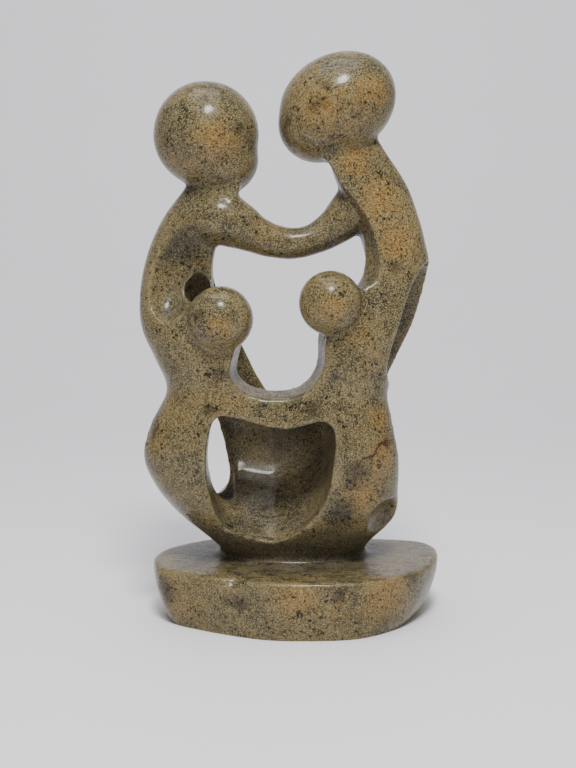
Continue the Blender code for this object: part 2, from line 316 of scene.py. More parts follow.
# %% Windows cut along the width
LEFT_WINDOW = (
    (6, 156), (0, 149), (-2, 138), (-1, 122), (-3, 104), (-5, 84), (-4, 66),
    (2, 53), (10, 50), (17, 60), (19, 84), (17, 106), (17, 130), (14, 149),
)
RIGHT_WINDOW = (
    (4, 156), (-3, 148), (-5, 134), (-4, 114), (-5, 94), (-5, 76), (-2, 62),
    (4, 53), (10, 55), (15, 66), (16, 84), (14, 106), (13, 130), (11, 149),
)
LEFT_SIDES = ((-90, 3), (-66, 1), (-50, 0), (-25, 0))
RIGHT_SIDES = ((27, 0), (40, 0), (52, 1), (80, 3))


def cutter_along_x(name, outline, sides):
    """A cutter from side to side. Each side is a place in x and how much the outline has grown."""
    smooth = rounded(outline)
    rings = []
    for x, margin in sides:
        y, z = grown(smooth, margin).T
        rings.append(np.stack([np.full_like(y, x), y, z], axis=1))
    return solid_through(name, rings)


boolean(cutter_along_x("left_window", LEFT_WINDOW, LEFT_SIDES), "DIFFERENCE")
boolean(cutter_along_x("right_window", RIGHT_WINDOW, RIGHT_SIDES), "DIFFERENCE")

# %% [markdown]
# ## The hollow below the children
#
# The wide hole in front opens into a hollow with a floor like a bowl. The rings keep the hole's
# own outline up to the wall's thickness and then close in step by step, so the floor rises to
# the back like a bowl and turns into the rear wall. A ball opens the hollow upwards.

# %% The front hole and its bowl
FRONT_HOLE = (
    (-28.7, 94.7), (-21, 93.6), (-11.2, 90.8), (-1.3, 89.3), (6, 90.3), (13.5, 92.3),
    (18.4, 90.5), (20.1, 84), (19.4, 75), (16.6, 60), (9, 47.3), (-3.5, 38.4),
    (-14, 39), (-26, 43), (-31.4, 52), (-34.6, 67), (-34.8, 80), (-32.8, 90.7),
)
HOLE_TOP = 95.0
HOLE_MIDDLE = -9.0
HOLE_RIM = ((-60, 14), (-34, 2.5), (-27, 0.4), (-14, 0))
BOWL = (
    (-2, 1.03, 0.99, 0.883), (7, 1.07, 0.97, 0.735), (12, 1.05, 0.95, 0.655),
    (15.5, 1.02, 0.93, 0.59), (18.5, 0.98, 0.91, 0.51), (21, 0.93, 0.87, 0.40),
    (23, 0.85, 0.80, 0.27),
)
HOLLOW_CENTRE = (-6, 8, 106)
HOLLOW_HALF = (36, 19.5, 42)


def hole_rings():
    smooth = rounded(FRONT_HOLE)
    rings = []
    for y, margin in HOLE_RIM:
        x, z = grown(smooth, margin).T
        rings.append(np.stack([x, np.full_like(x, y), z], axis=1))
    for y, left, right, down in BOWL:
        wide = np.where(smooth[:, 0] < HOLE_MIDDLE, left, right)
        x = HOLE_MIDDLE + (smooth[:, 0] - HOLE_MIDDLE) * wide
        z = HOLE_TOP + (smooth[:, 1] - HOLE_TOP) * down
        rings.append(np.stack([x, np.full_like(x, y), z], axis=1))
    return rings


boolean(solid_through("front_hole", hole_rings()), "DIFFERENCE")

# %% [markdown]
# ## Scoops, and a helper for round forms
#
# A ball that is stretched and leaned makes every soft scoop: the hollow before the mother's
# chest, the channel beside the father's, the small arch beside the mother, the round hollow low
# on the right, and plainer ones on the back. The same helper makes the heads later on.

# %% Balls that are stretched and leaned
def ball(name, centre, half_sizes, lean=0.0):
    """An egg with these half sizes in millimetres. A lean above zero tips its top to the right."""
    bpy.ops.object.select_all(action="DESELECT")
    bpy.ops.mesh.primitive_ico_sphere_add(subdivisions=5, radius=MM)
    piece = bpy.context.object
    piece.name = name
    piece.scale = half_sizes
    piece.rotation_euler = (0.0, math.radians(lean), 0.0)
    piece.location = placed(centre)
    bpy.ops.object.transform_apply(location=True, rotation=True, scale=True)
    return piece


SCOOPS = {
    "mother_front": ((-34.8, -27, 162.3), (25, 21.5, 26), 19),
    "mother_side": ((-48, -18, 160), (13, 13, 25), 16),
    "mother_hole": ((-39.5, -4, 148), (5.5, 12, 7.0), 10),
    "father_front": ((22, -19.5, 178), (13, 18, 30), -28),
    "mother_back": ((-38, 35, 166), (16, 15, 28), 10),
    "father_back": ((31, 35, 172), (14, 15, 28), -20),
    "right_side_lip": ((52.3, -20, 42.2), (18, 19.5, 17), 0),
}

boolean(ball("hollow", HOLLOW_CENTRE, HOLLOW_HALF), "DIFFERENCE")
for scoop, shape in SCOOPS.items():
    boolean(ball(scoop, *shape), "DIFFERENCE")

# %% [markdown]
# ## The children's heads
#
# The heads are blank balls, as on the real carving. Before each child's head is joined, a slightly
# larger ball a little further forward cuts a crease around it. That is the fine dark line that a
# carver leaves where a round form sinks into a flat one.

# %% Two small heads with a crease around them
CHILD_HEADS = {
    "left_child_head": ((-28.9, -19.5, 136.8), (14.3, 13.8, 14.3)),
    "right_child_head": ((18.2, -19.5, 143.6), (13.8, 13.5, 14.1)),
}
CREASE_FORWARD = 3.4
CREASE_GROWTH = 0.9

for name, (centre, half_sizes) in CHILD_HEADS.items():
    x, y, z = centre
    wider = [half + CREASE_GROWTH for half in half_sizes]
    boolean(ball("crease", (x, y - CREASE_FORWARD, z), wider), "DIFFERENCE")
    boolean(ball(name, centre, half_sizes), "UNION")

# %% [markdown]
# ## The parents' arms
#
# The joined arms are one bar that sags in the middle and swells into a shoulder at each end. A
# curve with a round section and a width at each of its points draws it, and it is then turned
# into a mesh and joined.

# %% The bar of the arms
ARMS = (
    (-45, 5, 171, 9.0),
    (-38, 1.5, 178.5, 11.5),
    (-29.5, -0.6, 178.9, 12.5),
    (-21, -1.2, 175.5, 10.7),
    (-14, -0.8, 171.8, 8.5),
    (-6, -0.3, 169, 7.5),
    (3, 0, 168, 7.0),
    (11, 0.5, 169.8, 6.9),
    (18, 2, 173.5, 7.9),
    (26, 4, 180, 10.0),
    (34, 6, 189, 11.3),
)


def bar_of_arms():
    bpy.ops.object.select_all(action="DESELECT")
    bpy.ops.curve.primitive_bezier_curve_add()
    arms = bpy.context.object
    arms.name = "arms"
    arms.data.bevel_depth = MM
    arms.data.bevel_resolution = 10
    arms.data.resolution_u = 10
    arms.data.use_fill_caps = True
    line = arms.data.splines[0]
    line.bezier_points.add(len(ARMS) - len(line.bezier_points))
    for point, (x, y, z, radius) in zip(line.bezier_points, ARMS):
        point.co = placed((x, y, z))
        point.radius = radius
        point.handle_left_type = point.handle_right_type = "AUTO"
    bpy.ops.object.convert(target="MESH")
    bpy.ops.object.mode_set(mode="EDIT")
    bpy.ops.mesh.select_all(action="SELECT")
    bpy.ops.mesh.remove_doubles(threshold=0.01 * MM)
    bpy.ops.mesh.normals_make_consistent(inside=False)
    bpy.ops.object.mode_set(mode="OBJECT")
    return bpy.context.object


boolean(bar_of_arms(), "UNION")

# %% [markdown]
# ## The base
#
# The base is the oval lower end of the block. Its top is flat, its side leans in a little
# towards the ground, and the front has one long nearly straight edge. It starts below the
# ground here and is cut flat at the end, so that its lower edge is clean. A low collar softens the
# meeting with the foot, and a small chip has been knocked out of the front edge.

# %% The base, its collar and the nick in its edge
BASE_OUTLINE = (
    (-61, -4), (-57, -17), (-44, -26), (-28, -34), (-10, -40.5), (11, -42),
    (32, -40), (46, -33), (58, -21), (66, -6), (69, 8), (68.5, 21), (61, 31),
    (40, 36), (14, 39), (-14, 39), (-38, 34), (-53, 22), (-60, 9),
)
BASE_SIDE = (
    (-3.0, 0.84, 0.93, 0.0), (0.0, 0.873, 0.955, 0.0), (5.0, 0.925, 0.98, 0.0),
    (10.5, 0.957, 0.992, 0.0), (16.0, 0.982, 1.0, 0.0), (21.0, 0.997, 1.0, 0.0),
    (24.8, 1.0, 1.0, 0.1), (25.8, 1.0, 1.0, 0.5), (26.0, 1.0, 1.0, 1.2),
)
BASE_MIDDLE_X = -5.0
BASE_TOP = 26.0
COLLAR_PLACE = (2, 8)
COLLAR_HALF = (35.0, 19.5)
COLLAR_SIDE = ((-4, 1.0), (0.6, 1.0), (1.6, 0.97), (2.6, 0.9), (5.0, 0.8))
NICK_CENTRE = (-24.0, -36.5, 26.3)
NICK_HALF = (6.2, 4.2, 4.4)


def base_rings():
    rings = []
    for z, across, deep, inset in BASE_SIDE:
        x, y = grown(rounded(BASE_OUTLINE), -inset).T
        x = BASE_MIDDLE_X + (x - BASE_MIDDLE_X) * across
        rings.append(np.stack([x, y * deep, np.full_like(x, z)], axis=1))
    return rings


def collar_rings():
    angles = np.arange(SECTION_POINTS) * 2 * math.pi / SECTION_POINTS
    rings = []
    for rise, share in COLLAR_SIDE:
        x = COLLAR_PLACE[0] + COLLAR_HALF[0] * share * np.cos(angles)
        y = COLLAR_PLACE[1] + COLLAR_HALF[1] * share * np.sin(angles)
        rings.append(np.stack([x, y, np.full_like(x, BASE_TOP + rise)], axis=1))
    return rings


boolean(solid_through("base", base_rings()), "UNION")
boolean(solid_through("collar", collar_rings()), "UNION")
boolean(ball("nick", NICK_CENTRE, NICK_HALF), "DIFFERENCE")

# %% [markdown]
# ## The parents' heads
#
# Each parent's head is a large ball with a smaller one sunk into its lower side, which gives the
# slightly pear-like outline of the hand-carved heads. The two are rubbed down to one form before
# they join the stone, so that no seam shows between them.

# %% Two large heads
PARENT_HEADS = {
    "mother_head": (
        ((-35.8, FIGURES_Y, 215.2), (23.5, 22.6, 23.4), 0),
        ((-28.9, FIGURES_Y - 1, 204.4), (16.3, 17.6, 15.8), 0),
    ),
    "father_head": (
        ((21.6, FIGURES_Y, 228.1), (27.0, 22.4, 22.0), -30),
        ((12.9, FIGURES_Y - 1, 219.9), (17.6, 18.6, 17.5), 0),
    ),
}
HEAD_VOXEL = 1.2
HEAD_EASE_STEPS = 20


def soft_head(name, balls):
    """Two balls joined, given an even skin, and rubbed down to one smooth form."""
    head, chin = (ball(name, *shape) for shape in balls)
    change(head, "BOOLEAN", operation="UNION", solver="EXACT", object=chin)
    bpy.data.objects.remove(chin)
    change(head, "REMESH", mode="VOXEL", voxel_size=HEAD_VOXEL * MM)
    change(head, "SMOOTH", factor=0.5, iterations=HEAD_EASE_STEPS)
    return head


for name, balls in PARENT_HEADS.items():
    boolean(soft_head(name, balls), "UNION")

# %% [markdown]
# ## One even skin
#
# So far every edge is as sharp as a knife. A voxel Remesh gives the whole stone a skin of even
# small faces, Smooth rubs the edges down as sandpaper does, and Displace moves the skin by less
# than half a millimetre, because a surface worked by hand is never perfectly even. Nearly all of
# it goes inwards, so the skin stays within the solid that it stands for.

# %% Remesh, rub down, and a hand-made surface
VOXEL = 1.15
EASE_STEPS = 5
UNEVEN_DEPTH = 0.45
UNEVEN_SIZE = 16.0
UNEVEN_LEVEL = 0.91

uneven = bpy.data.textures.new("hand_carved", "CLOUDS")
uneven.noise_scale = UNEVEN_SIZE * MM
change(stone, "REMESH", mode="VOXEL", voxel_size=VOXEL * MM)
change(stone, "SMOOTH", factor=0.5, iterations=EASE_STEPS)
change(stone, "DISPLACE", texture=uneven, texture_coords="LOCAL",
       strength=UNEVEN_DEPTH * MM, mid_level=UNEVEN_LEVEL)
print("the skin has", len(stone.data.polygons), "faces")

# %% [markdown]
# ## Standing flat
#
# Bisect cuts the base at the ground and fills the cut, as a carver grinds the underside on a
# flat stone. Shading stays smooth over all but the sharpest edges.

# %% The underside
SMOOTH_BELOW = math.radians(55)

bpy.ops.object.select_all(action="DESELECT")
stone.select_set(True)
bpy.context.view_layer.objects.active = stone
bpy.ops.object.mode_set(mode="EDIT")
bpy.ops.mesh.select_all(action="SELECT")
bpy.ops.mesh.bisect(plane_co=(0, 0, 0), plane_no=(0, 0, 1), use_fill=True, clear_inner=True)
bpy.ops.mesh.select_all(action="SELECT")
bpy.ops.mesh.normals_make_consistent(inside=False)
bpy.ops.object.mode_set(mode="OBJECT")
bpy.ops.object.shade_smooth_by_angle(angle=SMOOTH_BELOW)
lowest = min(vertex.co.z for vertex in stone.data.vertices)
print("lowest point", lowest, "volume", round(volume(stone), 1), "cubic centimetres")

# %% [markdown]
# ## Where the stone is sheltered
#
# Hands and cloth polish what they reach, so the hollows stay duller, and the material also darkens
# them as painted shade. Rays are sent out from each point of the skin: the more of them that hit the
# stone again nearby, the more sheltered the point is. The rays are spread evenly over a half ball by
# turning each one on by the golden angle, as seeds lie in a sunflower.

# %% Measuring the shelter
RAYS = 20
RAY_REACH = 0.045
RAY_LIFT = 0.0006
GOLDEN_ANGLE = 2.39996


def points_and_normals(mesh):
    places, normals = np.empty(len(mesh.vertices) * 3), np.empty(len(mesh.vertices) * 3)
    mesh.vertices.foreach_get("co", places)
    mesh.vertices.foreach_get("normal", normals)
    return places.reshape(-1, 3), normals.reshape(-1, 3)


def rays_all_round():
    turns = np.arange(RAYS) * GOLDEN_ANGLE
    rises = 1 - (np.arange(RAYS) + 0.5) / RAYS
    level = np.sqrt(1 - rises**2)
    rays = np.stack([np.cos(turns) * level, np.sin(turns) * level, rises], axis=1)
    return rays * np.where(np.arange(RAYS) % 2, 1, -1)[:, None]


def measured_shelter(mesh):
    """For each point, the share of its outward rays that hit the stone again."""
    places, normals = points_and_normals(mesh)
    tree = BVHTree.FromPolygons([tuple(p) for p in places], [tuple(f.vertices) for f in mesh.polygons])
    starts = places + normals * RAY_LIFT
    hits = np.zeros(len(places))
    for ray in rays_all_round():
        outward = np.where((normals @ ray)[:, None] < 0, -ray, ray)
        for i, (start, direction) in enumerate(zip(starts, outward)):
            if tree.ray_cast(Vector(start), Vector(direction), RAY_REACH)[0] is not None:
                hits[i] += 1
    return hits / RAYS


shelter = measured_shelter(stone.data)
print("a point is sheltered by", round(float(shelter.mean()), 2), "on average")

# %% [markdown]
# ## Where the edges are
#
# An edge that sticks out gets a painted highlight, paler than the flat beside it. Where the
# neighbours of a point lie below its own tangent plane the skin bends outwards, and the sum of those
# drops says how sharply. Both measures are evened out a little and kept as attributes for the
# material.

# %% Measuring the edges
EDGE_FULL = 0.8
SHELTER_ROUNDS = 6
EDGE_ROUNDS = 2


def ends_of_edges(mesh):
    ends = np.empty(len(mesh.edges) * 2, dtype=int)
    mesh.edges.foreach_get("vertices", ends)
    return ends.reshape(-1, 2).T


def measured_bend(mesh):
    """How far the neighbours of each point drop away from its tangent plane."""
    places, normals = points_and_normals(mesh)
    a, b = ends_of_edges(mesh)
    along = places[b] - places[a]
    length = np.linalg.norm(along, axis=1) + 1e-9
    bend = np.zeros(len(places))
    np.add.at(bend, a, -(along * normals[a]).sum(1) / length)
    np.add.at(bend, b, (along * normals[b]).sum(1) / length)
    return bend


def even_out(values, mesh, rounds):
    """Each value becomes the mean of its own and its neighbours', a few times over."""
    a, b = ends_of_edges(mesh)
    near = np.bincount(a, minlength=len(values)) + np.bincount(b, minlength=len(values))
    for _ in range(rounds):
        total = np.bincount(a, values[b], len(values)) + np.bincount(b, values[a], len(values))
        values = 0.5 * values + 0.5 * total / np.maximum(near, 1)
    return values


shelter = even_out(shelter, stone.data, SHELTER_ROUNDS)
edges = even_out(np.clip(measured_bend(stone.data) / EDGE_FULL, 0, 1), stone.data, EDGE_ROUNDS)
for attribute, values in (("shelter", shelter), ("edges", edges)):
    kept = stone.data.attributes.new(attribute, "FLOAT", "POINT")
    kept.data.foreach_set("value", values.astype(np.float32))
    print(attribute, "from", round(float(values.min()), 2), "to", round(float(values.max()), 2))

# %% [markdown]
# ## Helpers for materials
#
# A material is a chain of small nodes. Short helpers add a node and its links, do a sum, blend two
# colours, and make a group with named inputs and outputs or use one.

# %% Adding nodes
def node(tree, kind, **settings):
    """Adds a node. Names that are inputs get a value or a link, the others are settings."""
    made = tree.nodes.new(kind)
    inputs = settings.pop("inputs", {})
    for key, value in settings.items():
        setattr(made, key, value)
    for key, value in inputs.items():
        if isinstance(value, bpy.types.NodeSocket):
            tree.links.new(value, made.inputs[key])
        else:
            made.inputs[key].default_value = value
    return made


def math_node(tree, operation, first, second=0.0, clamp=False):
    return node(tree, "ShaderNodeMath", operation=operation, use_clamp=clamp,
                inputs={0: first, 1: second}).outputs[0]


def blend_colours(tree, share, first, second):
    mixed = node(tree, "ShaderNodeMix", data_type="RGBA", inputs={0: share, 6: first, 7: second})
    return mixed.outputs[2]


def new_group(name, inputs, outputs):
    """A shader node group whose inputs are (name, kind, value) and outputs (name, kind)."""
    tree = bpy.data.node_groups.new(name, "ShaderNodeTree")
    for label, kind, value in inputs:
        socket = tree.interface.new_socket(label, in_out="INPUT", socket_type=kind)
        if value is not None:
            socket.default_value = value
    for label, kind in outputs:
        tree.interface.new_socket(label, in_out="OUTPUT", socket_type=kind)
    return tree, tree.nodes.new("NodeGroupInput").outputs, tree.nodes.new("NodeGroupOutput").inputs


def use_group(tree, group, **values):
    return node(tree, "ShaderNodeGroup", node_tree=group, inputs=values).outputs


print("ready to add nodes")

# %% [markdown]
# ## Patches
#
# Minerals grow in clouds. The group turns a noise into a mask with a chosen size, share of the
# surface and softness, and the stone uses it at several sizes.

# %% The group that makes patches
def make_patches():
    tree, given, out = new_group(
        "stone_patches",
        (("Vector", "NodeSocketVector", None), ("Scale", "NodeSocketFloat", 40.0),
         ("Detail", "NodeSocketFloat", 5.0), ("Threshold", "NodeSocketFloat", 0.5),
         ("Softness", "NodeSocketFloat", 0.1), ("Warp", "NodeSocketFloat", 0.5)),
        (("Mask", "NodeSocketFloat"), ("Noise", "NodeSocketFloat")))
    noise = node(tree, "ShaderNodeTexNoise", inputs={
        "Vector": given["Vector"], "Scale": given["Scale"], "Detail": given["Detail"],
        "Roughness": 0.62, "Distortion": given["Warp"]})
    low = math_node(tree, "SUBTRACT", given["Threshold"], given["Softness"])
    high = math_node(tree, "ADD", given["Threshold"], given["Softness"])
    mask = node(tree, "ShaderNodeMapRange", interpolation_type="SMOOTHSTEP", inputs={
        "Value": noise.outputs[0], "From Min": low, "From Max": high})
    tree.links.new(mask.outputs[0], out["Mask"])
    tree.links.new(noise.outputs[0], out["Noise"])
    return tree


patches = make_patches()
print("group", patches.name, "with", len(patches.nodes), "nodes")

# %% [markdown]
# ## Specks
#
# Dark grains lie in the stone one by one and in swarms. A Voronoi texture gives each cell of the
# stone its own centre and its own random number. Only cells above a limit hold a speck, and the
# number also sets its size. A little noise bends the cells, so that no speck is round.

# %% The group that makes specks
def make_specks():
    tree, given, out = new_group(
        "stone_specks",
        (("Vector", "NodeSocketVector", None), ("Scale", "NodeSocketFloat", 300.0),
         ("Share", "NodeSocketFloat", 0.2), ("Size", "NodeSocketFloat", 0.35),
         ("Ragged", "NodeSocketFloat", 0.4), ("Swarm", "NodeSocketFloat", 1.0)),
        (("Mask", "NodeSocketFloat"),))
    finer = math_node(tree, "MULTIPLY", given["Scale"], 2.3)
    bender = node(tree, "ShaderNodeTexNoise", inputs={
        "Vector": given["Vector"], "Scale": finer, "Detail": 3.0, "Roughness": 0.7})
    centred = node(tree, "ShaderNodeVectorMath", operation="SUBTRACT", inputs={
        0: bender.outputs["Color"], 1: (0.5, 0.5, 0.5)})
    reach = math_node(tree, "DIVIDE", given["Ragged"], given["Scale"])
    moved = node(tree, "ShaderNodeVectorMath", operation="SCALE", inputs={
        0: centred.outputs[0], "Scale": reach})
    bent = node(tree, "ShaderNodeVectorMath", operation="ADD", inputs={
        0: given["Vector"], 1: moved.outputs[0]})
    cells = node(tree, "ShaderNodeTexVoronoi", inputs={
        "Vector": bent.outputs[0], "Scale": given["Scale"]})
    number = node(tree, "ShaderNodeSeparateColor", inputs={0: cells.outputs["Color"]}).outputs[0]
    share = math_node(tree, "MULTIPLY", given["Share"], given["Swarm"])
    limit = math_node(tree, "SUBTRACT", 1.0, share)
    above = math_node(tree, "SUBTRACT", number, limit)
    part = math_node(tree, "DIVIDE", above, math_node(tree, "MAXIMUM", share, 0.001), clamp=True)
    grown_part = math_node(tree, "POWER", part, 0.6)
    radius = math_node(tree, "MULTIPLY", grown_part, given["Size"])
    inside = math_node(tree, "SUBTRACT", radius, cells.outputs["Distance"])
    mask = node(tree, "ShaderNodeMapRange", interpolation_type="SMOOTHSTEP", inputs={
        "Value": inside, "From Min": -0.02, "From Max": 0.12})
    tree.links.new(mask.outputs[0], out["Mask"])
    return tree


specks = make_specks()
print("group", specks.name, "with", len(specks.nodes), "nodes")

# %% [markdown]
# ## Where the stains lie
#
# Iron has stained this stone ochre in some places, and dark grains have collected in others; the
# largest dark ball, in the mother's scoop, is painted shade. Each place is a soft ball, given by its
# middle and radius in the drawing. The distance to the middle makes the mask, and a noise that bends
# the coordinates makes its outline ragged. A stain runs through the stone, so the same ball colours
# the skin wherever the carver has met it. Four more balls paint shade onto the rear wall of the
# hollow.

# %% Soft balls of colour
OCHRE_PLACES = (
    (-29, -15, 212, 12), (15, -15, 225, 12), (35, -13, 232, 10), (29, -6, 204, 9),
    (40, -8, 188, 12), (47, -11, 170, 12), (-29, -33, 134, 7.5), (18, -33, 142, 8.5),
    (40, -17, 92, 9), (43, -18, 76, 11), (33, -23, 60, 12), (44, -36, 18, 15), (3, -42, 20, 11),
    (46, 12, 178, 15), (-52, 8, 150, 14), (20, 36, 62, 18), (-30, 34, 40, 14), (-40, 36, 14, 13),
)
SWARM_AND_SHADE_PLACES = (
    (-34, -12, 229, 4), (-21, -11, 218, 4.5), (17, -14, 235, 4.5), (13, -15, 228, 4),
    # The ball at (-44, -6, 166) is painted shade in the mother's scoop; the others are dark grains.
    (29, -14, 224, 3.5), (-1, -6, 222, 4), (-44, -6, 166, 15), (-30, -24, 113, 6),
    (3, -25, 102, 4), (12, -25, 99, 4), (21, -24, 111, 4.5), (-34, -24, 97, 4.5),
    (-58, -14, 88, 4), (46, -14, 159, 5), (-39, -29, 139, 3.5), (29, -24, 69, 8),
    (23, -22, 51, 9), (22, -41, 21, 5), (-54, -19, 16, 8), (-22, -36, 16, 6), (54, -24, 26, 6),
    (50, 8, 120, 9), (-16, 36, 72, 9), (34, 34, 32, 7), (6, 12, 232, 8), (-44, 10, 190, 9),
)
# Painted shade: four balls that darken the rear wall of the hollow.
HOLLOW_SHADE_PLACES = ((-4, 24, 82, 21), (-18, 18, 96, 16), (12, 18, 96, 16), (-4, 16, 104, 18))
STAIN_EDGE = 1.2
STAIN_CORE = 0.2


def bent_places(tree, place, stone_place, scale, reach):
    """The coordinates, pushed a little to all sides by a noise."""
    pushes = node(tree, "ShaderNodeTexNoise", inputs={
        "Vector": stone_place, "Scale": scale, "Detail": 5.0})
    centred = node(tree, "ShaderNodeVectorMath", operation="SUBTRACT", inputs={
        0: pushes.outputs["Color"], 1: (0.5, 0.5, 0.5)})
    shorter = node(tree, "ShaderNodeVectorMath", operation="SCALE", inputs={
        0: centred.outputs[0], "Scale": reach})
    return node(tree, "ShaderNodeVectorMath", operation="ADD", inputs={
        0: place, 1: shorter.outputs[0]}).outputs[0]


def stains(tree, bent, places):
    """A mask that is one in the middle of each place and fades to zero around it."""
    mask = None
    for *middle, radius in places:
        away = node(tree, "ShaderNodeVectorMath", operation="DISTANCE", inputs={
            0: bent, 1: placed(middle)})
        near = node(tree, "ShaderNodeMapRange", interpolation_type="SMOOTHSTEP", inputs={
            "Value": away.outputs["Value"],
            "From Min": radius * STAIN_EDGE * MM, "From Max": radius * STAIN_CORE * MM}).outputs[0]
        mask = near if mask is None else math_node(tree, "MAXIMUM", mask, near)
    return mask


print(len(OCHRE_PLACES), "ochre places and", len(SWARM_AND_SHADE_PLACES), "dark ones")

# %% [markdown]
# ## The stone
#
# The colour is built in the order in which the eye finds it: an olive ground, tan clouds, warm
# ochre where iron has stained the stone, a fine pale and dark grain like sugar and pepper, dark
# specks that gather in swarms, and one rusty vein on the right. Sheltered places get painted
# shade and are duller. The polish comes from a low roughness with a thin clear coat, for the wax.

# %% The colours
OLIVE = (0.050, 0.045, 0.024, 1)
TAN = (0.150, 0.112, 0.048, 1)
OCHRE = (0.255, 0.135, 0.026, 1)
PALE = (0.42, 0.34, 0.18, 1)
SHADE = (0.010, 0.010, 0.008, 1)
DARK = (0.003, 0.003, 0.003, 1)
RUST = (0.030, 0.008, 0.005, 1)
# Painted shade: the dark grey that the sheltered hollows are darkened towards.
RECESS_SHADE = (0.048, 0.045, 0.039, 1)
VEIN_PLACES = ((34, -22, 76, 9), (43, -18, 83, 9))
VEIN_ACROSS = (-0.574, 0.0, 0.819)
VEIN_EDGE = 0.0010
VEIN_CORE = 0.0004


def layer(tree, below, mask, strength, colour):
    """One more colour over the ones below, as strong as its mask."""
    return blend_colours(tree, math_node(tree, "MULTIPLY", mask, strength), below, colour)


print("the ground goes from", OLIVE[:3], "to", TAN[:3])

# %% [markdown]
# ## Ground, clouds and grain
#
# Three sizes of cloud lie over each other, from a hand's width to a grain of sugar. The finest
# one is what makes the surface look like stone rather than like paint.

# %% The ground of the stone
def stone_ground(tree, place, ragged, open_air):
    tan_cloud = use_group(tree, patches, Vector=place, Scale=52.0, Detail=8.0,
                          Threshold=0.50, Softness=0.09, Warp=0.9)
    small_cloud = use_group(tree, patches, Vector=place, Scale=200.0, Detail=6.0,
                            Threshold=0.52, Softness=0.07, Warp=0.5)
    ochre_cloud = use_group(tree, patches, Vector=place, Scale=23.0, Detail=5.0,
                            Threshold=0.58, Softness=0.08, Warp=0.6)
    dark_grain = use_group(tree, patches, Vector=place, Scale=1150.0, Detail=4.0,
                           Threshold=0.53, Softness=0.05, Warp=0.0)
    pale_grain = use_group(tree, patches, Vector=place, Scale=1700.0, Detail=3.0,
                           Threshold=0.54, Softness=0.05, Warp=0.0)

    iron = math_node(tree, "MAXIMUM", stains(tree, ragged, OCHRE_PLACES),
                     math_node(tree, "MULTIPLY", ochre_cloud["Mask"], 0.45))
    # Where the stone is sheltered the ochre fades, as part of the painted shade in the hollows.
    iron = math_node(tree, "MULTIPLY", iron, open_air)
    colour = blend_colours(tree, tan_cloud["Mask"], OLIVE, TAN)
    colour = layer(tree, colour, small_cloud["Mask"], 0.55, TAN)
    colour = layer(tree, colour, iron, 0.72, OCHRE)
    colour = layer(tree, colour, dark_grain["Mask"], 0.65, SHADE)
    colour = layer(tree, colour, pale_grain["Mask"], 0.50, PALE)
    return colour, small_cloud, pale_grain


print("ground, clouds and grain are ready")

# %% [markdown]
# ## Specks, swarms and the vein
#
# The swarm mask says where dark grains gather: in the dark places of the drawing, and faintly in
# a wide cloud over the whole stone. In the mother's scoop the same mask, its halo and its specks
# are painted shade. The vein is a thin plane through the stone, given by the direction across it.
# The bent coordinates make it wavy, and two soft balls say where it shows.

# %% The dark part of the stone
def stone_darks(tree, place, ragged, colour, small_cloud):
    swarm_cloud = use_group(tree, patches, Vector=place, Scale=70.0, Detail=5.0,
                            Threshold=0.55, Softness=0.09, Warp=1.2)
    # Dark grain swarms, and painted shade in the mother's scoop.
    swarm_and_scoop_shade = stains(tree, ragged, SWARM_AND_SHADE_PLACES)
    swarm = math_node(tree, "MULTIPLY", swarm_cloud["Mask"], 0.80)
    swarm = math_node(tree, "ADD", swarm, swarm_and_scoop_shade, clamp=True)
    halo = math_node(tree, "MULTIPLY", swarm_and_scoop_shade, small_cloud["Noise"])
    colour = layer(tree, colour, halo, 1.1, SHADE)

    fine = use_group(tree, specks, Vector=place, Scale=800.0,
                     Share=0.20, Size=0.55, Ragged=0.9)["Mask"]
    middling = use_group(tree, specks, Vector=place, Scale=560.0,
                         Share=0.75, Size=0.55, Ragged=1.6, Swarm=swarm)["Mask"]
    blots = use_group(tree, specks, Vector=place, Scale=230.0,
                      Share=0.55, Size=0.42, Ragged=2.6, Swarm=swarm)["Mask"]
    colour = layer(tree, colour, fine, 0.70, DARK)
    colour = layer(tree, colour, middling, 0.90, DARK)
    colour = layer(tree, colour, blots, 0.88, DARK)

    middle = Vector(placed(VEIN_PLACES[0][:3])).dot(Vector(VEIN_ACROSS))
    across = node(tree, "ShaderNodeVectorMath", operation="DOT_PRODUCT", inputs={
        0: ragged, 1: VEIN_ACROSS})
    away = math_node(tree, "ABSOLUTE", math_node(tree, "SUBTRACT", across.outputs["Value"], middle))
    line = node(tree, "ShaderNodeMapRange", inputs={
        "Value": away, "From Min": VEIN_EDGE, "From Max": VEIN_CORE})
    vein = math_node(tree, "MULTIPLY", line.outputs[0], stains(tree, ragged, VEIN_PLACES))
    return layer(tree, colour, vein, 0.85, RUST), middling


print("specks, swarms and the vein are ready")

# %% [markdown]
# ## Marks of rubbing
#
# The flat top of the base and the floor of the hollow were rubbed from side to side, and the dark
# wax has stayed in the short marks. A noise that is stretched along the width gives such dashes.

# %% Marks of rubbing
DASH_STRETCH = (0.16, 0.7, 1.0)


def rubbing_marks(tree, stone_place):
    """Short dark dashes from side to side, where the stone faces up."""
    normal = node(tree, "ShaderNodeTexCoord").outputs["Normal"]
    upright = node(tree, "ShaderNodeSeparateXYZ", inputs={0: normal}).outputs["Z"]
    facing_up = node(tree, "ShaderNodeMapRange", inputs={
        "Value": upright, "From Min": 0.45, "From Max": 0.85})
    stretched = node(tree, "ShaderNodeMapping", inputs={
        "Vector": stone_place, "Scale": DASH_STRETCH}).outputs[0]
    dashes = use_group(tree, patches, Vector=stretched, Scale=700.0, Detail=4.0,
                       Threshold=0.56, Softness=0.05, Warp=0.0)
    return math_node(tree, "MULTIPLY", dashes["Mask"], facing_up.outputs[0])


print("marks of rubbing are ready")

